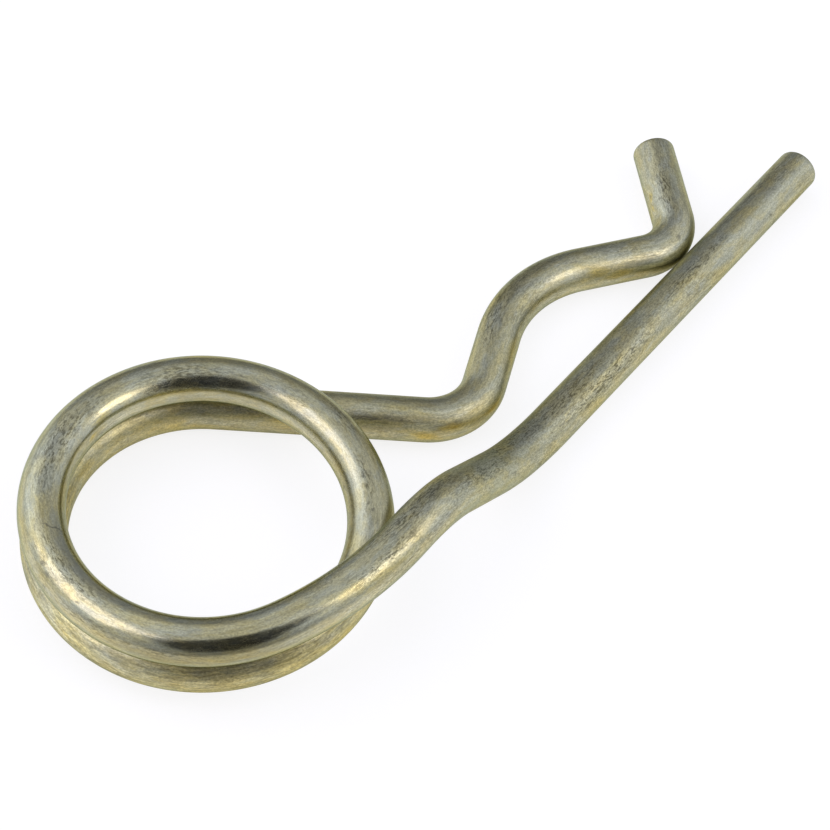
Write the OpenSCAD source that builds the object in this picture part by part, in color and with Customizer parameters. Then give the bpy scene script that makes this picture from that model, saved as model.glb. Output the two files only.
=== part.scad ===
// Hitch clip bent from one round spring wire. A coil of a little over one and a half turns makes the eye.
// The straight leg leaves the upper turn, steps down and goes through a shaft's cross hole. The wavy leg
// leaves the lower turn and snaps over the outside of the shaft, and its nose rests on the straight leg.
// Millimetres, +Z up. The clip lies flat, with both legs in one plane. The origin is on the surface that
// it lies on, under the middle of the eye, and +X runs along the straight leg towards its tip.

/* [Wire] */
// Diameter of the wire
wire_d = 5; // [4:0.5:6]
// Radius on the edge of both cut ends
end_round = 0.6; // [0.2:0.1:1.2]

/* [Coil] */
// Clear width of the eye
eye_d = 29; // [26:0.5:34]
// Angle that the wire goes round the eye, before it opens out
coil_sweep = 568; // [556:1:580]
// Gap between the two turns
turn_gap = 0.1; // [0.1:0.1:1]
// Lean of the coil about the start of the wavy leg, its front side down
coil_lean = 1; // [0:0.5:3]

/* [Straight leg] */
// Radius of the wide arc where the wire opens out of the coil
opening_r = 39; // [25:1:60]
// Angle of the wide arc
opening_angle = 24; // [18:1:30]
// Straight run between the wide arc and the step
step_lead = 1; // [0.5:0.5:6]
// Slope of the step down to the plane of the wavy leg
step_slope = 31; // [20:1:40]
// Bend radius at the top of the step
step_top_r = 14; // [8:1:18]
// Bend radius at the foot of the step
step_foot_r = 23; // [10:1:26]
// Length of the straight leg, from the foot of the step to its tip
leg_run = 52; // [45:1:70]

/* [Wavy leg] */
// Angle of the elbow, where the leg turns towards the hump
elbow_angle = 75.5; // [68:0.5:82]
// Bend radius of the elbow
elbow_r = 7; // [5:0.5:9]
// Straight run from the elbow to the hump
hump_lead = 7.5; // [5:0.5:12]
// Angle of the hump that holds the shaft
hump_angle = 56.5; // [50:0.5:62]
// Bend radius of the hump
hump_r = 15; // [10:0.5:18]
// Straight run from the hump to the nose
nose_lead = 8.4; // [6:0.1:12]
// Angle of the nose that rests on the straight leg
nose_angle = 80; // [70:1:90]
// Bend radius of the nose
nose_r = 5.5; // [4.5:0.5:8]
// Length of the lead-in from the nose to the tip
tip_run = 11; // [8:0.5:16]
// Gap between the nose and the straight leg
grip_gap = 0.1; // [0.1:0.1:1]

/* [Hidden] */
$fn = 32;
wire_r = wire_d / 2;
coil_r = (eye_d + wire_d) / 2;

// The coil is a helix, made of equal flat arcs with a small twist of the wire from each to the next
coil_arcs = 12;
coil_rise = (wire_d + turn_gap) / (2 * PI);
arc_length = norm([coil_r, coil_rise]) * coil_sweep * PI / 180 / coil_arcs;
arc_r = (coil_r ^ 2 + coil_rise ^ 2) / coil_r;
arc_angle = arc_length / arc_r * 180 / PI;
arc_twist = arc_angle * coil_rise / coil_r;

// A bend is swept this much too far before it is cut square
bend_spare = 3;

// The wire's state is its place and a matrix of its own axes, as columns: it runs along the third
// and bends away from the first. Both legs start at the join, back to back.
join = [0, coil_r, 0];
coil_start = [join, [[0, 0, -1], [1, 0, 0], [0, -1, 0]]];
wave_start = [join, [[0, 0, 1], [-1, 0, 0], [0, -1, 0]]];

// Sines and cosines are held to six digits. Each angle moves by up to a hundredth of a degree, to one
// whose short pair still has a length of 1, so that neighbouring stretches share one clean edge.
function digits(v) = abs(v) < 0.01 ? 1e8 : abs(v) < 0.1 ? 1e7 : 1e6;
function short(v) = round(v * digits(v)) / digits(v);
function misfit(a) = abs(norm([short(cos(a)), short(sin(a))]) - 1);
function settled(a) =
    let (near = [for (k = [-100:100]) a + k / 10000])
    let (misfits = [for (b = near) misfit(b)])
    near[search(min(misfits), misfits)[0]];

function twisted(axes, a) = axes * [[cos(a), -sin(a), 0], [sin(a), cos(a), 0], [0, 0, 1]];
function bent(axes, a) = axes * [[cos(a), 0, -sin(a)], [0, 1, 0], [sin(a), 0, cos(a)]];

// A stretch of wire is [twist about itself, straight run, bend radius, bend angle]
function stretch(twist, run, radius, angle) = [settled(twist), run, radius, settled(angle)];
function past(state, s) =
    let (axes = twisted(state[1], s[0]))
    let (shift = [s[2] * (cos(s[3]) - 1), 0, s[1] + s[2] * sin(s[3])])
    [state[0] + axes * shift, bent(axes, s[3])];
function at_end(state, path, k = 0) = k == len(path) ? state : at_end(past(state, path[k]), path, k + 1);

// Twist and bend angle that bring the wire round to the direction d
function twist_to(state, d) = let (v = d * state[1]) atan2(-v[1], -v[0]);
function angle_to(state, d) = acos((d * state[1])[2]);

// From the join round the coil, up to the start of the step
first_arc = stretch(arc_twist / 2 - coil_lean, 0, arc_r, arc_angle);
next_arc = stretch(arc_twist, 0, arc_r, arc_angle);
coil_path = concat([first_arc], [for (k = [2:coil_arcs]) next_arc]);
opening = stretch(arc_twist / 2, 0, opening_r, opening_angle);
lead = stretch(0, step_lead, 0, 0);
upper_path = concat(coil_path, [opening, lead]);
step_start = at_end(coil_start, upper_path);

// The step keeps its heading in plan and comes down to the plane of the wavy leg
running = step_start[1] * [0, 0, 1];
leg_heading = atan2(running[1], running[0]);
level_way = [cos(leg_heading), sin(leg_heading), 0];
down_way = level_way * cos(step_slope) - [0, 0, sin(step_slope)];
step_top = stretch(twist_to(step_start, down_way), 0, step_top_r, angle_to(step_start, down_way));
slope_start = past(step_start, step_top);
foot_drop = step_foot_r * (1 - cos(step_slope));
slope_run = (slope_start[0][2] - foot_drop) / sin(step_slope);
foot_angle = angle_to(slope_start, level_way);
step_foot = stretch(twist_to(slope_start, level_way), slope_run, step_foot_r, foot_angle);
leg_start = past(slope_start, step_foot);
leg_path = concat(upper_path, [step_top, step_foot, stretch(0, leg_run - end_round, 0, 0)]);

// The run before the elbow is as long as lets the nose rest on the straight leg
elbow = stretch(0, 0, elbow_r, elbow_angle);
hump = stretch(180, hump_lead, hump_r, hump_angle);
nose_start = past(at_end(wave_start, [elbow, hump]), stretch(180, nose_lead, 0, 0));
nose_centre = nose_start[0] - nose_start[1] * [nose_r, 0, 0];
leg_side = [-sin(leg_heading), cos(leg_heading), 0];
nose_distance = (nose_centre - leg_start[0]) * leg_side;
elbow_lead = (nose_r + wire_d + grip_gap - nose_distance) / leg_side[0];
nose = stretch(180, nose_lead, nose_r, nose_angle);
tip = stretch(0, tip_run - end_round, 0, 0);
wave_path = [stretch(0, elbow_lead, elbow_r, elbow_angle), hump, nose, tip];

module placed(state) {
    m = state[1];
    p = state[0];
    multmatrix([concat(m[0], p[0]), concat(m[1], p[1]), concat(m[2], p[2]), [0, 0, 0, 1]]) children();
}

module past_bend(radius, angle) {
    translate([-radius, 0, 0]) rotate([0, -angle, 0]) translate([radius, 0, 0]) children();
}

// The arc is swept a little too far and cut square where the next stretch starts, so the two meet exactly
module bend(radius, angle) {
    difference() {
        rotate([90, 0, 0]) translate([-radius, 0, 0])
            rotate_extrude(angle = angle + bend_spare) translate([radius, 0]) circle(r = wire_r);
        past_bend(radius, angle) translate([-wire_d, -wire_d, 0]) cube(2 * wire_d);
    }
}

module cut_end() {
    rotate_extrude() {
        square([wire_r - end_round, end_round]);
        translate([wire_r - end_round, 0]) intersection() {
            circle(r = end_round);
            square(end_round);
        }
    }
}

// Each stretch is drawn at the end of the one before, and the last one gets the cut end
module wire(path, k = 0) {
    if (k == len(path)) {
        cut_end();
    } else {
        run = path[k][1];
        radius = path[k][2];
        angle = path[k][3];
        rotate([0, 0, path[k][0]]) {
            if (run > 0) cylinder(h = run, r = wire_r);
            translate([0, 0, run]) {
                if (angle > 0) bend(radius, angle);
                past_bend(radius, angle) wire(path, k + 1);
            }
        }
    }
}

module clip_wire() {
    color([0.72, 0.70, 0.58])
        rotate([0, 0, -leg_heading]) translate([0, 0, wire_r]) {
            placed(coil_start) wire(leg_path);
            placed(wave_start) wire(wave_path);
        }
}

clip_wire();
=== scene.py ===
import math

import bpy
import numpy as np
from mathutils import Matrix, Vector


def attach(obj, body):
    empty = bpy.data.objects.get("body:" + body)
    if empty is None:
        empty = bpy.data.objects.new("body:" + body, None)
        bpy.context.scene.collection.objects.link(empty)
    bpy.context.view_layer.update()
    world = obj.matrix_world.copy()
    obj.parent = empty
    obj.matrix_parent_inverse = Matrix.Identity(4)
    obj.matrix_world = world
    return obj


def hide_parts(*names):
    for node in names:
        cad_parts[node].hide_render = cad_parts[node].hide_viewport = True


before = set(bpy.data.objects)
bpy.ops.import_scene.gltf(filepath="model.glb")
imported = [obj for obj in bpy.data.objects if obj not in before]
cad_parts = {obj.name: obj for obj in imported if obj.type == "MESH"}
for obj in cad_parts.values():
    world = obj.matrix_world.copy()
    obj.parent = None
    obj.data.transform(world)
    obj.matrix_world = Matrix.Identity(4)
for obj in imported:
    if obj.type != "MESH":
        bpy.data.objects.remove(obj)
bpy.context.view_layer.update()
MM = 0.001

# Sizes of the wire, the same as in the solid, in metres and degrees
WIRE_D = 5 * MM
END_ROUND = 0.6 * MM
EYE_D = 29 * MM
COIL_SWEEP = 568
COIL_ARCS = 12
TURN_GAP = 0.1 * MM
COIL_LEAN = 1
OPENING_R = 39 * MM
OPENING_ANGLE = 24
STEP_LEAD = 1 * MM
STEP_SLOPE = 31
STEP_TOP_R = 14 * MM
STEP_FOOT_R = 23 * MM
LEG_RUN = 52 * MM
ELBOW_ANGLE = 75.5
ELBOW_R = 7 * MM
HUMP_LEAD = 7.5 * MM
HUMP_ANGLE = 56.5
HUMP_R = 15 * MM
NOSE_LEAD = 8.4 * MM
NOSE_ANGLE = 80
NOSE_R = 5.5 * MM
TIP_RUN = 11 * MM
GRIP_GAP = 0.1 * MM

WIRE_R = WIRE_D / 2
COIL_R = (EYE_D + WIRE_D) / 2
UP = np.array([0, 0, 1.0])


# The wire's route
#
# A stretch of wire is (twist about itself, straight run, bend radius, bend angle). The wire's state is its
# place and its own axes, as columns: it runs along the third and bends away from the first.

SETTLE_TRIES = 100
SETTLE_SHARES = 10000


def settled(angle):
    """The solid's angles lie within a hundredth of a degree of the plain ones. This finds the same ones."""
    def short(v):
        return round(v, 8 if abs(v) < 0.01 else 7 if abs(v) < 0.1 else 6)

    def misfit(a):
        return abs(math.hypot(short(math.cos(math.radians(a))), short(math.sin(math.radians(a)))) - 1)

    return min((angle + k / SETTLE_SHARES for k in range(-SETTLE_TRIES, SETTLE_TRIES + 1)), key=misfit)


def stretch(twist, run, radius, angle):
    return settled(twist), run, radius, settled(angle)


def twisted(axes, angle):
    c, s = math.cos(math.radians(angle)), math.sin(math.radians(angle))
    return axes @ np.array([[c, -s, 0], [s, c, 0], [0, 0, 1]])


def bent(axes, angle):
    c, s = math.cos(math.radians(angle)), math.sin(math.radians(angle))
    return axes @ np.array([[c, 0, -s], [0, 1, 0], [s, 0, c]])


def past(state, piece):
    place, axes = state
    twist, run, radius, angle = piece
    axes = twisted(axes, twist)
    a = math.radians(angle)
    return place + axes @ [radius * (math.cos(a) - 1), 0, run + radius * math.sin(a)], bent(axes, angle)


def at_end(state, path):
    for piece in path:
        state = past(state, piece)
    return state


def turn_towards(axes, way):
    """Twist and bend angle that bring the wire round to the direction way."""
    v = way @ axes
    return math.degrees(math.atan2(-v[1], -v[0])), math.degrees(math.acos(v[2]))


def straight_leg_path(start):
    rise = (WIRE_D + TURN_GAP) / (2 * math.pi)
    arc_length = math.hypot(COIL_R, rise) * math.radians(COIL_SWEEP) / COIL_ARCS
    arc_r = (COIL_R ** 2 + rise ** 2) / COIL_R
    arc_angle = math.degrees(arc_length / arc_r)
    arc_twist = arc_angle * rise / COIL_R
    path = [stretch(arc_twist / 2 - COIL_LEAN, 0, arc_r, arc_angle)]
    path += [stretch(arc_twist, 0, arc_r, arc_angle)] * (COIL_ARCS - 1)
    path += [stretch(arc_twist / 2, 0, OPENING_R, OPENING_ANGLE), stretch(0, STEP_LEAD, 0, 0)]

    place, axes = at_end(start, path)
    heading = math.atan2(axes[1, 2], axes[0, 2])
    slope = math.radians(STEP_SLOPE)
    level_way = np.array([math.cos(heading), math.sin(heading), 0])
    down_way = level_way * math.cos(slope) - UP * math.sin(slope)
    twist, angle = turn_towards(axes, down_way)
    path.append(stretch(twist, 0, STEP_TOP_R, angle))

    place, axes = at_end(start, path)
    slope_run = (place[2] - STEP_FOOT_R * (1 - math.cos(slope))) / math.sin(slope)
    twist, angle = turn_towards(axes, level_way)
    path.append(stretch(twist, slope_run, STEP_FOOT_R, angle))
    foot = at_end(start, path)[0]
    return path + [stretch(0, LEG_RUN - END_ROUND, 0, 0)], foot, heading


def wavy_leg_path(start, foot, heading):
    hump = stretch(180, HUMP_LEAD, HUMP_R, HUMP_ANGLE)
    place, axes = at_end(start, [stretch(0, 0, ELBOW_R, ELBOW_ANGLE), hump, stretch(180, NOSE_LEAD, 0, 0)])
    nose_centre = place - axes @ [NOSE_R, 0, 0]
    leg_side = np.array([-math.sin(heading), math.cos(heading), 0])
    elbow_lead = (NOSE_R + WIRE_D + GRIP_GAP - (nose_centre - foot) @ leg_side) / leg_side[0]
    return [stretch(0, elbow_lead, ELBOW_R, ELBOW_ANGLE), hump,
            stretch(180, NOSE_LEAD, NOSE_R, NOSE_ANGLE), stretch(0, TIP_RUN - END_ROUND, 0, 0)]


def walked(state, path, step):
    """Places and axes along a path, about step apart. These axes don't turn about the wire."""
    places, frames, turned = [state[0]], [state[1]], 0
    for twist, run, radius, angle in path:
        turned += twist
        start = (state[0], twisted(state[1], twist))
        for bends, length in ((False, run), (True, radius * math.radians(angle))):
            count = math.ceil(length / step)
            for i in range(1, count + 1):
                share = i / count
                piece = (0, run, radius, angle * share) if bends else (0, run * share, 0, 0)
                place, axes = past(start, piece)
                places.append(place)
                frames.append(twisted(axes, -turned))
        state = past(state, (twist, run, radius, angle))
    return np.array(places), np.array(frames)


def wire_route(step):
    """Places along the whole wire, from the straight tip to the wavy tip, with its two side directions."""
    join = np.array([0, COIL_R, 0])
    coil_start = (join, np.array([[0, 0, -1], [1, 0, 0], [0, -1, 0]], float))
    wave_start = (join, np.array([[0, 0, 1], [-1, 0, 0], [0, -1, 0]], float))
    leg_path, foot, heading = straight_leg_path(coil_start)
    leg, leg_axes = walked(coil_start, leg_path, step)
    wave, wave_axes = walked(wave_start, wavy_leg_path(wave_start, foot, heading), step)

    places = np.concatenate([leg[::-1], wave[1:]])
    ways = np.concatenate([-leg_axes[::-1, :, 2], wave_axes[1:, :, 2]])
    first = leg_axes[0, :, 0]
    across = wave_axes[0].T @ first
    wave_sides = wave_axes[1:, :, 0] * across[0] + wave_axes[1:, :, 1] * across[1]
    sides = np.concatenate([leg_axes[::-1, :, 0], wave_sides])
    c, s = math.cos(heading), math.sin(heading)
    level = np.array([[c, s, 0], [-s, c, 0], [0, 0, 1]])
    places, ways, sides = places @ level.T + UP * WIRE_R, ways @ level.T, sides @ level.T
    return places, ways, sides, np.cross(ways, sides)


# The wire's mesh

RING_STEP = 0.45 * MM
RING_POINTS = 56
ROUND_RINGS = 6
FACE_RINGS = 4

# The wire's map for baking: its side lies in rows up to this height, and both end faces lie above them
MAP_ROWS = 5
MAP_GAP = 0.012
SIDE_MAP_HEIGHT = 0.93
END_MAP_CENTRES = ((0.04, 0.965), (0.12, 0.965))
END_MAP_SIZE = 0.06


def end_profile():
    """(radius, how far past the last ring) from the wire's side over the rounded edge to near the middle."""
    inner = WIRE_R - END_ROUND
    turn = [math.radians(90 * (i + 1) / ROUND_RINGS) for i in range(ROUND_RINGS)]
    profile = [(inner + END_ROUND * math.cos(a), END_ROUND * math.sin(a)) for a in turn]
    return profile + [(inner * (1 - (i + 1) / (FACE_RINGS + 1)), END_ROUND) for i in range(FACE_RINGS)]


def wire_mesh():
    places, ways, sides, others = wire_route(RING_STEP)
    along = np.r_[0, np.cumsum(np.linalg.norm(np.diff(places, axis=0), axis=1))] + END_ROUND
    rings = [(0, radius, -past_end) for radius, past_end in reversed(end_profile())]
    rings += [(k, WIRE_R, 0) for k in range(len(places))]
    rings += [(len(places) - 1, radius, past_end) for radius, past_end in end_profile()]

    round_wire = np.arange(RING_POINTS) * 2 * math.pi / RING_POINTS
    cos, sin = np.cos(round_wire)[:, None], np.sin(round_wire)[:, None]
    points, skin = [], []
    for k, radius, past_end in rings:
        points.append(places[k] + ways[k] * past_end + radius * (cos * sides[k] + sin * others[k]))
        skin.append(np.hstack([radius * cos, radius * sin, np.full_like(cos, along[k] + past_end)]))
    points, skin = np.concatenate(points), np.concatenate(skin)
    centres = [places[0] - ways[0] * END_ROUND, places[-1] + ways[-1] * END_ROUND]
    centre_skin = [[0, 0, 0], [0, 0, along[-1] + END_ROUND]]
    points, skin = np.vstack([points, centres]), np.vstack([skin, centre_skin])

    faces, lengthwise, roundwise = [], [], []
    ring_at = [(radius, along[k] + past_end) for k, radius, past_end in rings]
    steps = [math.hypot(b[0] - a[0], b[1] - a[1]) for a, b in zip(ring_at, ring_at[1:])]
    reach = np.r_[0, np.cumsum(steps)]
    for k in range(len(rings) - 1):
        for j in range(RING_POINTS):
            n = (j + 1) % RING_POINTS
            here = k * RING_POINTS
            faces.append((here + j, here + n, here + RING_POINTS + n, here + RING_POINTS + j))
            lengthwise.append((reach[k], reach[k], reach[k + 1], reach[k + 1]))
            roundwise.append((j, j + 1, j + 1, j))
    last = (len(rings) - 1) * RING_POINTS
    for j in range(RING_POINTS):
        n = (j + 1) % RING_POINTS
        faces.append((n, j, len(points) - 2))
        faces.append((last + j, last + n, len(points) - 1))
    return points, skin, faces, np.array(lengthwise), np.array(roundwise), reach[-1]


def map_places(lengthwise, roundwise, total):
    """The wire's side cut into rows of equal length, stacked on a square map."""
    row_length = total / MAP_ROWS
    row = np.minimum((lengthwise.mean(axis=1) / row_length).astype(int), MAP_ROWS - 1)[:, None]
    u = (lengthwise - row * row_length) / row_length
    v = (row + MAP_GAP + roundwise / RING_POINTS * (1 - 2 * MAP_GAP)) / MAP_ROWS
    return np.stack([np.clip(u, 0, 1) * (1 - 2 * MAP_GAP) + MAP_GAP, v * SIDE_MAP_HEIGHT], axis=-1)


def make_wire():
    points, skin, faces, lengthwise, roundwise, total = wire_mesh()
    mesh = bpy.data.meshes.new("wire")
    mesh.from_pydata(points.tolist(), [], faces)
    mesh.polygons.foreach_set("use_smooth", [True] * len(faces))
    attribute = mesh.attributes.new("skin", "FLOAT_VECTOR", "POINT")
    attribute.data.foreach_set("vector", skin.ravel())

    uv = mesh.uv_layers.new(name="OFBake")
    side_map = map_places(lengthwise, roundwise, total).reshape(-1, 2)
    cap_corners = 3 * 2 * RING_POINTS
    cap_map = np.zeros((cap_corners, 2))
    for k in range(2 * RING_POINTS):
        for corner, vertex in enumerate(faces[len(lengthwise) + k]):
            from_centre = skin[vertex][:2] / WIRE_D * END_MAP_SIZE
            cap_map[3 * k + corner] = np.array(END_MAP_CENTRES[k % 2]) + from_centre
    uv.data.foreach_set("uv", np.vstack([side_map, cap_map]).ravel())
    mesh.validate()
    wire = bpy.data.objects.new("plated_clip_wire", mesh)
    bpy.context.collection.objects.link(wire)
    return wire


# Node helpers

class Nodes:
    """Short calls for a material's or a world's nodes. add returns the new node, and the others its output."""

    def __init__(self, tree):
        self.tree = tree
        tree.nodes.clear()

    def add(self, kind, inputs=(), **settings):
        node = self.tree.nodes.new("ShaderNode" + kind)
        for name, value in settings.items():
            setattr(node, name, value)
        for name, value in dict(inputs).items():
            if isinstance(value, bpy.types.NodeSocket):
                self.tree.links.new(value, node.inputs[name])
            else:
                node.inputs[name].default_value = value
        return node

    def math(self, operation, a, b=0.0, clamp=False):
        return self.add("Math", {0: a, 1: b}, operation=operation, use_clamp=clamp).outputs[0]

    def vector(self, operation, a, b):
        return self.add("VectorMath", {0: a, 1: b}, operation=operation).outputs[0]

    def length(self, vector):
        return self.add("VectorMath", {0: vector}, operation="LENGTH").outputs["Value"]

    def noise(self, place, pattern):
        """A pattern is (scales, detail, roughness, distortion)."""
        scales, detail, roughness, distortion = pattern
        inputs = {"Vector": self.vector("MULTIPLY", place, scales), "Scale": 1.0, "Detail": detail,
                  "Roughness": roughness, "Distortion": distortion}
        return self.add("TexNoise", inputs).outputs["Fac"]

    def ramp(self, value, low, high, to_low=0.0, to_high=1.0):
        """value goes smoothly from to_low at low to to_high at high."""
        return self.add("MapRange", {"Value": value, "From Min": low, "From Max": high, "To Min": to_low,
                                     "To Max": to_high}, interpolation_type="SMOOTHSTEP").outputs[0]

    def mix(self, share, a, b, blend="MIX"):
        node = self.add("Mix", {0: share}, data_type="RGBA", blend_type=blend)
        for name, value in ((6, a), (7, b)):
            if isinstance(value, bpy.types.NodeSocket):
                self.tree.links.new(value, node.inputs[name])
            else:
                node.inputs[name].default_value = (*value, 1)
        return node.outputs[2]

    def shaded(self, colour, shade):
        grey = self.add("CombineXYZ", {0: shade, 1: shade, 2: shade}).outputs[0]
        return self.mix(1.0, colour, grey, "MULTIPLY")


# The plated wire's material
#
# Its pattern lies on the wire as if that were straight: X and Y across it and Z along it from the straight
# tip, in millimetres. Marks are named by their place along the wire and their angle round it.

FILM = (0.457, 0.448, 0.281)
GOLDEN_FILM = (0.50, 0.447, 0.195)
BARE_ZINC = (0.455, 0.457, 0.325)
# DARK_MARK also paints a dark reflection band along the straight leg's upper side
DARK_MARK = (0.17, 0.165, 0.11)

# These multiply the colour under them
COOL_TINT = (0.97, 1.0, 1.08)
WARM_TINT = (1.03, 1.0, 0.915)
FLECK = (0.44, 0.435, 0.42)
STAIN = (1.04, 0.87, 0.36)
# Level of the dulled spots, which are greyer film in part and painted shade in part
DULL_AND_SHADED_LEVEL = 0.75
MATTE_SHADE = 1.17
# Gain of the painted light in the pale spots
PAINTED_LIGHT_GAIN = 1.25

# Colour of the mirrored light at a grazing look
EDGE_TINT = (0.56, 0.61, 0.50, 1)

# Shares of the golden spots, of the stains and of the dark marks and the painted reflection band, where these
# are fullest
GOLDEN_SHARE = 0.4
STAIN_SHARE = 0.65
DARK_SHARE = 0.75

# Roughness that is added
FLECK_ROUGHER = 0.18
FACE_ROUGHER = 0.15
MATTE_ROUGHER = 0.2

# Relief, as shares of the bump's height
STREAK_HEIGHT = 0.5
SPECK_HEIGHT = 0.3
FLECK_DEPTH = 0.5
MARK_DEPTH = 1.2
BUMP_HEIGHT = 0.03 * MM
BUMP_STRENGTH = 0.16

# Patterns, as (scales across the wire and along it, detail, roughness, distortion), per millimetre
STREAKY = ((3.6, 3.6, 0.45), 5, 0.7, 0.2)
MOTTLED = ((2.4, 2.4, 0.7), 5, 0.7, 0.8)
SPECKLED = ((7.0, 7.0, 4.0), 3, 0.7, 0)
CROWDED = ((0.34, 0.34, 0.10), 3, 0.6, 0)
FINE = ((5.2, 5.2, 1.4), 6, 0.66, 0.2)
CRACKED = ((2.1, 2.1, 0.27), 5, 0.62, 0.3)
CLOUDY = ((0.42, 0.42, 0.12), 4, 0.55, 0.4)
WORN = ((0.6, 0.6, 0.2), 5, 0.6, 0)
TINTED = ((0.8, 0.8, 0.3), 4, 0.55, 0)
SHEARED = ((0.7, 6.0, 1.0), 4, 0.6, 0)
SWAYING = ((0.8, 0.8, 0.8), 4, 0.6, 0)

# Ramps, as (from, to, value before, value past it)
STREAKY_SHADE = (0.38, 0.62, 0.88, 1.09)
MOTTLED_SHADE = (0.36, 0.64, 0.975, 1.025)
MOTTLED_GOLD = (0.36, 0.64, -0.12, 0.12)
MOTTLED_ROUGHER = (0.36, 0.64, -0.03, 0.03)
SPECKLED_SHADE = (0.36, 0.62, 0.84, 1.11)
CROWDED_SHARE = (0.45, 0.65, 0.05, 0.6)
FINE_FLECKS = (0.50, 0.57, 0, 1)
FINE_STREAKS = (0.40, 0.58, 0, 1)
CRACK_MIDDLE = 0.5
CRACK_LINE = (0.0, 0.020, 1, 0)
CRACK_SHARE = (0.05, 0.7, 0.05, 0.75)
CLOUDY_GOLD = (0.45, 0.68, 0, 0.55)
WORN_SHARE = (0.48, 0.66, 0, 0.4)
WARM_SHARE = (0.40, 0.60, 0, 1)
SHEARED_SHADE = (0.35, 0.65, 0.7, 1.05)
END_FACE = (WIRE_R / MM - 0.55, WIRE_R / MM - 0.15, 1, 0)

# Wavering of the pattern's place, so that no mark has a ruled edge
WARP_SCALES = (0.9, 0.9, 0.35)
WARP_DETAIL = 3
WAVER = (0.9, 0.9, 2.2)
SLIGHT_WAVER = (0.25, 0.25, 1.0)

# Roughness along the wire, as (place, value). The upper turn is burnished, the legs are duller.
GLOSS_ALONG = ((79, 0.37), (99, 0.17), (165, 0.19), (180, 0.26), (203, 0.43), (276, 0.42), (292, 0.34),
               (318, 0.28), (330, 0.33))
# Share of the golden film, which is thickest on the lower turn
GOLD_ALONG = ((190, 0.0), (200, 0.9), (212, 0.75), (222, 0.4), (236, 0.4), (250, 0.5), (262, 0.55),
              (280, 0.3), (335, 0.0))
# Strength of the fine specks, which are worn off the upper turn
SPECKS_ALONG = ((20, 1.4), (34, 1.8), (74, 1.8), (98, 1.0), (188, 1.0), (203, 1.5))
# Strength of the streaks that the drawing of the wire left, deepest on the lower turn
STREAKS_ALONG = ((190, 1.0), (203, 2.3), (236, 2.3), (248, 1.3), (280, 1.0))
# Share of the dark flecks, of which the opening of the coil, the lower turn and the elbow have fewer
FLECKS_ALONG = ((92, 1.0), (98, 0.55), (114, 0.55), (120, 1.0), (188, 1.0), (200, 0.8), (264, 0.8),
                (276, 0.9), (286, 0.5), (298, 0.5), (306, 1.0))

# Spots, as (place along, angle round, length, width). An edge is the share of a spot that fades out.
SOFT_EDGE = 0.9
FIRM_EDGE = 0.8
CRISP_EDGE = 0.7
# Brown stains at the wavy tip, on the coil, at the elbow and at the hump
STAINS = ((340.4, 24, 1.0, 0.45), (338.9, 22, 0.9, 0.4), (276, 155, 4.0, 1.3), (145.3, 124, 2.2, 0.6),
          (143.2, 140, 1.2, 0.5), (290.4, 175, 2.0, 0.9), (292.4, 152, 1.4, 0.9), (297.0, 160, 2.0, 0.7),
          (323.4, 144, 2.2, 0.9), (325.5, 160, 3.0, 0.9))
# Crowds of dark flecks
FLECKED = ((140, 78, 13, 2.2), (157, 92, 8, 1.6), (285, 122, 7, 1.1), (310, 62, 14, 1.8),
           (340, 72, 8, 1.3), (122, 66, 12, 1.3), (108, 104, 9, 1.2), (84, 96, 8, 1.3), (112, 4, 14, 1.1),
           (44, 24, 16, 1.5), (70, 45, 10, 1.6), (50, 70, 12, 1.6), (24, 60, 12, 1.1), (86, 42, 8, 1.0),
           (157, 118, 9, 1.2), (80, 84, 11, 2.0), (175, 52, 6, 1.4), (183, 84, 8, 0.9),
           (60, 80, 14, 1.8), (104, 20, 8, 0.9))
# Golden flanks of the straight leg, the opening of the coil and the elbow
GOLDEN = ((46, 15, 26, 3.0), (86, 25, 9, 2.4), (106, -35, 24, 3.2), (294, 165, 10, 2.0))
# Greyer and darker spots: greyer film at the kink and the elbow, and painted shade along the upper sides of
# both legs, on the wavy tip and on the coil's lower flank
DULL_FILM_AND_PAINTED_SHADE = ((106, -8, 18, 1.7), (292.8, 147, 3.0, 0.9), (346, 60, 7, 2.4), (290, 70, 24, 2.2),
          (312, 66, 22, 2.2), (323, 52, 8, 1.5), (340, 75, 10, 1.8), (16, 75, 26, 2.1),
          (46, 68, 24, 1.9), (78, 80, 13, 1.8))
# Matte and paler film at the elbow and at the hump
MATTE = ((292, 148, 8, 2.6), (322, 156, 8, 2.4))
# Painted light: paler spots, with the gloss of their surroundings, standing in for a highlight on the lower
# turn and at the elbow and for light on the coil's upper flank
PAINTED_LIGHT_SPOTS = ((227, 28, 10, 3.0), (116, 80, 14, 1.7), (275, 132, 11, 1.7))
# Broken dark streaks, and a painted dark reflection band: the long one along the straight leg's upper side
STREAKS_AND_REFLECTED_BAND = ((163.5, 92, 1.6, 0.22), (283.5, 131, 7.0, 0.32), (341.0, 66, 1.6, 0.22),
           (339.4, 70, 1.0, 0.2), (12.0, 92, 14.0, 0.5))
PITS = ((186.8, 77, 0.3, 0.25), (38.8, 28, 0.4, 0.3), (35.2, 57, 0.3, 0.25), (182.5, 152, 0.45, 0.3),
        (333.3, 116, 0.5, 0.42), (340.5, 24, 0.3, 0.22), (339.4, 24, 0.3, 0.2), (123.5, 26, 0.6, 0.3),
        (124.6, 31, 0.4, 0.25), (119.3, 35, 0.4, 0.25), (10.4, 9, 0.35, 0.3), (339.7, 50, 0.35, 0.3))

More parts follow.
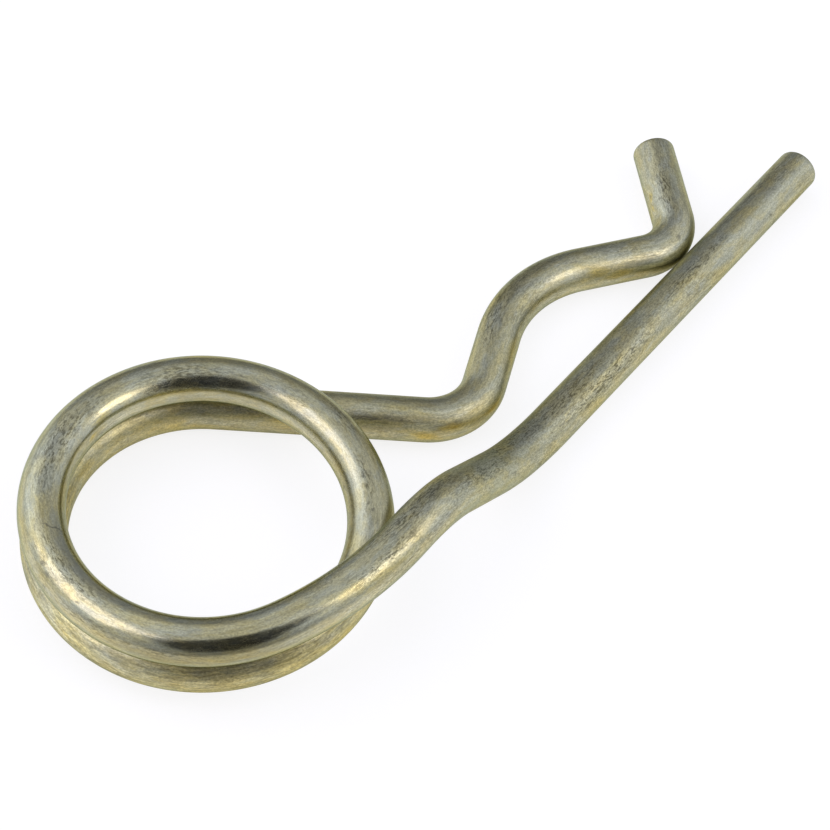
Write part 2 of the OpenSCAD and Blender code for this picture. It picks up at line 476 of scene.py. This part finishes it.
# The hairline mark that crosses the coil's left side: its place at angle 0 and its slant along the wire
# for each radian round it, its half width, its sway, and the angles between which it shows
HAIRLINE_AT = 130.9
HAIRLINE_SLANT = -1.69
HAIRLINE_FADE = (0, 0.2, 1, 0)
HAIRLINE_SWAY = (0.3, 0.7, -0.25, 0.25)
HAIRLINE_START = (1.05, 1.35, 0, 1)
HAIRLINE_END = (2.1, 2.5, 1, 0)


def spot(nodes, place, mark, edge):
    """1 in the middle of a mark, 0 outside it."""
    along, angle, length, width = mark
    a = math.radians(angle)
    centre = (WIRE_R / MM * math.cos(a), WIRE_R / MM * math.sin(a), along)
    offset = nodes.vector("SUBTRACT", place, centre)
    shrunk = nodes.vector("MULTIPLY", offset, (1 / width, 1 / width, 1 / length))
    return nodes.ramp(nodes.length(shrunk), 1 - edge, 1, 1, 0)


def any_of(nodes, masks):
    total = masks[0]
    for mask in masks[1:]:
        total = nodes.math("MAXIMUM", total, mask)
    return total


def spots(nodes, place, marks, edge):
    return any_of(nodes, [spot(nodes, place, mark, edge) for mark in marks])


def along_wire(nodes, place, stops):
    """A value that goes smoothly from stop to stop along the wire."""
    value = stops[0][1]
    for (low, before), (high, after) in zip(stops, stops[1:]):
        if after != before:
            value = nodes.math("ADD", value, nodes.ramp(place, low, high, 0, after - before))
    return value


def plated_wire():
    material = bpy.data.materials.new("yellowish_zinc_plate")
    material.use_nodes = True
    n = Nodes(material.node_tree)
    skin = n.add("Attribute", attribute_name="skin").outputs["Vector"]
    skin = n.vector("MULTIPLY", skin, (1 / MM, 1 / MM, 1 / MM))
    x, y, z = n.add("SeparateXYZ", {0: skin}).outputs
    warp = {"Vector": n.vector("MULTIPLY", skin, WARP_SCALES), "Scale": 1.0, "Detail": WARP_DETAIL}
    warp = n.vector("SUBTRACT", n.add("TexNoise", warp).outputs["Color"], (0.5, 0.5, 0.5))
    wavering = n.vector("ADD", skin, n.vector("MULTIPLY", warp, WAVER))
    steady = n.vector("ADD", skin, n.vector("MULTIPLY", warp, SLIGHT_WAVER))

    # Long fine streaks that the drawing of the wire left, with specks between them
    streaky = n.noise(steady, STREAKY)
    mottled = n.noise(skin, MOTTLED)
    speckled = n.noise(skin, SPECKLED)

    # Dark flecks and thin wandering cracks in the film, crowded in some zones
    crowd = n.ramp(n.noise(skin, CROWDED), *CROWDED_SHARE)
    crowd = n.math("MAXIMUM", crowd, spots(n, wavering, FLECKED, FIRM_EDGE))
    crowd = n.math("MULTIPLY", crowd, along_wire(n, z, FLECKS_ALONG))
    fine = n.noise(steady, FINE)
    flecks = n.math("MULTIPLY", n.ramp(fine, *FINE_FLECKS), crowd)
    crack = n.math("ABSOLUTE", n.math("SUBTRACT", n.noise(steady, CRACKED), CRACK_MIDDLE))
    crack = n.math("MULTIPLY", n.ramp(crack, *CRACK_LINE), n.ramp(crowd, *CRACK_SHARE))
    flecks = n.math("MAXIMUM", flecks, crack)

    # Chromate film, golden in broad clouds and worn thin elsewhere
    gold = n.math("ADD", n.ramp(n.noise(skin, CLOUDY), *CLOUDY_GOLD), along_wire(n, z, GOLD_ALONG))
    gold = n.math("ADD", gold, n.ramp(mottled, *MOTTLED_GOLD))
    golden = n.math("MULTIPLY", spots(n, wavering, GOLDEN, SOFT_EDGE), GOLDEN_SHARE)
    gold = n.math("ADD", gold, golden, clamp=True)
    colour = n.mix(gold, FILM, GOLDEN_FILM)
    colour = n.mix(n.ramp(n.noise(wavering, WORN), *WORN_SHARE), colour, BARE_ZINC)
    tint = n.mix(n.ramp(n.noise(wavering, TINTED), *WARM_SHARE), COOL_TINT, WARM_TINT)
    colour = n.mix(1.0, colour, tint, "MULTIPLY")
    colour = n.mix(flecks, colour, n.mix(1.0, colour, FLECK, "MULTIPLY"))

    # Light and dark of the streaks and specks and of the matte places, the greyer film and painted shade of
    # the dulled places, and the painted light of the pale places
    drawn = n.math("POWER", n.ramp(streaky, *STREAKY_SHADE), along_wire(n, z, STREAKS_ALONG))
    specks = n.math("POWER", n.ramp(speckled, *SPECKLED_SHADE), along_wire(n, z, SPECKS_ALONG))
    # Greyer film and painted shade: the dulled spots darken the colour
    dull_and_shaded = n.ramp(spots(n, wavering, DULL_FILM_AND_PAINTED_SHADE, SOFT_EDGE), 0, 1, 1, DULL_AND_SHADED_LEVEL)
    matte = spots(n, wavering, MATTE, FIRM_EDGE)
    # Painted light: the pale spots brighten the colour where highlights and light fall
    painted_light = n.ramp(spots(n, wavering, PAINTED_LIGHT_SPOTS, SOFT_EDGE), 0, 1, 1, PAINTED_LIGHT_GAIN)
    shade = n.ramp(mottled, *MOTTLED_SHADE)
    for part in (drawn, specks, dull_and_shaded, n.ramp(matte, 0, 1, 1, MATTE_SHADE), painted_light):
        shade = n.math("MULTIPLY", shade, part)
    colour = n.shaded(colour, shade)

    # Stains, streaks, pits and the hairline mark across the coil, and a painted dark reflection band along the
    # straight leg
    stain = n.math("MULTIPLY", spots(n, wavering, STAINS, FIRM_EDGE), STAIN_SHARE)
    colour = n.mix(stain, colour, n.mix(1.0, colour, STAIN, "MULTIPLY"))
    # Broken dark streaks, one of them a painted dark reflection band along the straight leg
    streaks_and_reflected_band = n.math("MULTIPLY", spots(n, wavering, STREAKS_AND_REFLECTED_BAND, CRISP_EDGE), n.ramp(fine, *FINE_STREAKS))
    pits = spots(n, wavering, PITS, FIRM_EDGE)
    angle = n.math("ARCTAN2", y, x)
    offset = n.math("SUBTRACT", z, n.math("ADD", n.math("MULTIPLY", angle, HAIRLINE_SLANT), HAIRLINE_AT))
    offset = n.math("ABSOLUTE", n.math("ADD", offset, n.ramp(n.noise(skin, SWAYING), *HAIRLINE_SWAY)))
    shown = n.math("MULTIPLY", n.ramp(angle, *HAIRLINE_START), n.ramp(angle, *HAIRLINE_END))
    hairline = n.math("MULTIPLY", n.ramp(offset, *HAIRLINE_FADE), shown)
    dark = any_of(n, [streaks_and_reflected_band, pits, hairline])
    colour = n.mix(n.math("MULTIPLY", dark, DARK_SHARE), colour, DARK_MARK)

    # Sheared end faces, greyer and rougher than the side
    end_face = n.ramp(n.length(n.vector("MULTIPLY", skin, (1, 1, 0))), *END_FACE)
    colour = n.mix(end_face, colour, n.shaded(BARE_ZINC, n.ramp(n.noise(skin, SHEARED), *SHEARED_SHADE)))

    # Gloss and relief
    rough = n.math("ADD", along_wire(n, z, GLOSS_ALONG), n.ramp(mottled, *MOTTLED_ROUGHER))
    for part, rougher in ((flecks, FLECK_ROUGHER), (end_face, FACE_ROUGHER), (matte, MATTE_ROUGHER)):
        rough = n.math("ADD", rough, n.math("MULTIPLY", part, rougher))
    height = n.math("MULTIPLY", streaky, STREAK_HEIGHT)
    for part, rise in ((speckled, SPECK_HEIGHT), (flecks, -FLECK_DEPTH), (dark, -MARK_DEPTH)):
        height = n.math("ADD", height, n.math("MULTIPLY", part, rise))
    bump = n.add("Bump", {"Strength": BUMP_STRENGTH, "Distance": BUMP_HEIGHT, "Height": height}).outputs[0]
    shader = n.add("BsdfPrincipled", {"Base Color": colour, "Metallic": 1.0, "Roughness": rough,
                                      "Normal": bump, "Specular Tint": EDGE_TINT})
    n.add("OutputMaterial", {"Surface": shader.outputs[0]})
    return material


wire = make_wire()
wire.data.materials.append(plated_wire())
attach(wire, "root")
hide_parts("clip_wire")


# The studio
#
# A white floor, a broad lamp on either side, and a pale room that is darker round the camera and beyond the
# clip. Directions are an azimuth from +X towards +Y and a height above the floor, in degrees.

FLOOR_SIZE = 40.0
FLOOR_GAP = 0.02 * MM
FLOOR_COLOUR = (0.80, 0.80, 0.79)

# The camera sees a floor that glows and keeps this share of its shading
FLOOR_GLOW = 0.82
FLOOR_SHADOW = 0.30

# The wire mirrors a floor with its own shading, glow and sheen, which turns into a gloss between these
# two shares of a grazing look
MIRRORED_SHADOW = 0.72
MIRRORED_GLOW = (0.46, 0.42, 0.39, 1)
MIRRORED_SHEEN = (0.25, 0.25, 0.25, 1)
SHEEN_ROUGHNESS = 0.35
GLOSS_ROUGHNESS = 0.3
FLOOR_GRAZED = (0.75, 1.0)
GRAZE_BLEND = 0.5

# The lamps face this place
LIT_POINT = (0.03, -0.005, 0.005)

ROOM = (0.68, 0.70, 0.86)
# Darker and brighter parts of the room, as (azimuth, height, full within, gone beyond, gain)
ROOM_PARTS = ((-135, 41, 27, 33, -0.925),
              (-135, -2, 22, 50, -0.45),
              (35, 5, 14, 50, -0.58),
              (115, 28, 18, 58, 0.50),
              (86, 30, 10, 32, 0.35),
              (-60, 42, 14, 46, 0.45))


def direction(azimuth, height):
    a, h = math.radians(azimuth), math.radians(height)
    return Vector((math.cos(a) * math.cos(h), math.sin(a) * math.cos(h), math.sin(h)))


def floor_colour(share):
    return (*(c * share for c in FLOOR_COLOUR), 1)


def floor_material():
    material = bpy.data.materials.new("white_floor")
    material.use_nodes = True
    n = Nodes(material.node_tree)

    # What the camera sees
    faint = n.add("BsdfDiffuse", {"Color": floor_colour(FLOOR_SHADOW)}).outputs[0]
    glow = n.add("Emission", {"Strength": FLOOR_GLOW}).outputs[0]
    white = n.add("AddShader", {0: faint, 1: glow}).outputs[0]

    # What the wire mirrors
    dim = n.add("BsdfDiffuse", {"Color": floor_colour(MIRRORED_SHADOW)}).outputs[0]
    glow = n.add("Emission", {"Color": MIRRORED_GLOW}).outputs[0]
    sheen = n.add("BsdfGlossy", {"Color": MIRRORED_SHEEN, "Roughness": SHEEN_ROUGHNESS}).outputs[0]
    gloss = n.add("BsdfGlossy", {"Color": floor_colour(1), "Roughness": GLOSS_ROUGHNESS}).outputs[0]
    mirrored = n.add("AddShader", {0: dim, 1: glow}).outputs[0]
    mirrored = n.add("AddShader", {0: mirrored, 1: sheen}).outputs[0]
    grazed = n.ramp(n.add("LayerWeight", {"Blend": GRAZE_BLEND}).outputs["Facing"], *FLOOR_GRAZED)
    mirrored = n.add("MixShader", {0: grazed, 1: mirrored, 2: gloss}).outputs[0]

    # A plain floor lights the wire. From below the floor is clear, so that the underside can be looked at.
    plain = n.add("BsdfDiffuse", {"Color": floor_colour(1)}).outputs[0]
    clear = n.add("BsdfTransparent").outputs[0]
    path = n.add("LightPath").outputs
    seen = n.math("MAXIMUM", path["Is Camera Ray"], path["Is Transmission Ray"])
    below = n.add("NewGeometry").outputs["Backfacing"]
    look = n.add("MixShader", {0: path["Is Glossy Ray"], 1: plain, 2: mirrored}).outputs[0]
    look = n.add("MixShader", {0: seen, 1: look, 2: white}).outputs[0]
    look = n.add("MixShader", {0: below, 1: look, 2: clear}).outputs[0]
    n.add("OutputMaterial", {"Surface": look})
    return material


def make_floor():
    half = FLOOR_SIZE / 2
    mesh = bpy.data.meshes.new("floor")
    corners = [(-half, -half, 0), (half, -half, 0), (half, half, 0), (-half, half, 0)]
    mesh.from_pydata(corners, [], [(0, 1, 2, 3)])
    mesh.materials.append(floor_material())
    floor = bpy.data.objects.new("floor", mesh)
    floor.location.z = -FLOOR_GAP
    bpy.context.collection.objects.link(floor)


def make_room():
    world = bpy.data.worlds.new("room")
    world.use_nodes = True
    bpy.context.scene.world = world
    n = Nodes(world.node_tree)
    way = n.add("TexCoord").outputs["Generated"]
    colour = ROOM
    for azimuth, height, full, edge, gain in ROOM_PARTS:
        towards = {0: way, 1: direction(azimuth, height)}
        facing = n.add("VectorMath", towards, operation="DOT_PRODUCT").outputs["Value"]
        light = n.ramp(facing, math.cos(math.radians(edge)), math.cos(math.radians(full)), 1, 1 + gain)
        colour = n.shaded(colour, light)
    n.add("OutputWorld", {"Surface": n.add("Background", {"Color": colour}).outputs[0]})


def softbox(name, azimuth, height, distance, width, tall, radiance, colour):
    light = bpy.data.lights.new(name, "AREA")
    light.shape = "RECTANGLE"
    light.size = width
    light.size_y = tall
    light.energy = radiance * math.pi * width * tall
    light.color = colour
    lamp = bpy.data.objects.new(name, light)
    way = direction(azimuth, height)
    lamp.location = Vector(LIT_POINT) + way * distance
    lamp.rotation_euler = way.to_track_quat("Z", "Y").to_euler()
    bpy.context.collection.objects.link(lamp)


make_floor()
make_room()
softbox("left_softbox", azimuth=139, height=43, distance=0.60, width=0.52, tall=0.40, radiance=1.29,
        colour=(1.0, 0.87, 1.0))
softbox("right_softbox", azimuth=-73, height=44, distance=0.60, width=0.24, tall=0.24, radiance=2.32,
        colour=(1.0, 0.885, 0.93))


# The camera, at the photograph's angle

CAMERA_AT = (-0.11804, -0.08659, 0.22490)
CAMERA_HEADING = 28.817
CAMERA_DIP = 53.268
CAMERA_ROLL = -10.874
CAMERA_LENS = 109.42
CAMERA_NEAREST = 0.01

camera = bpy.data.objects.new("camera", bpy.data.cameras.new("camera"))
ahead = direction(CAMERA_HEADING, -CAMERA_DIP)
level_right = direction(CAMERA_HEADING - 90, 0)
right = Matrix.Rotation(math.radians(CAMERA_ROLL), 3, ahead) @ level_right
above = right.cross(ahead)
camera.matrix_world = Matrix.Translation(CAMERA_AT) @ Matrix((right, above, -ahead)).transposed().to_4x4()
camera.data.lens = CAMERA_LENS
camera.data.clip_start = CAMERA_NEAREST
bpy.context.collection.objects.link(camera)
bpy.context.scene.camera = camera
bpy.context.scene.view_settings.view_transform = "Standard"
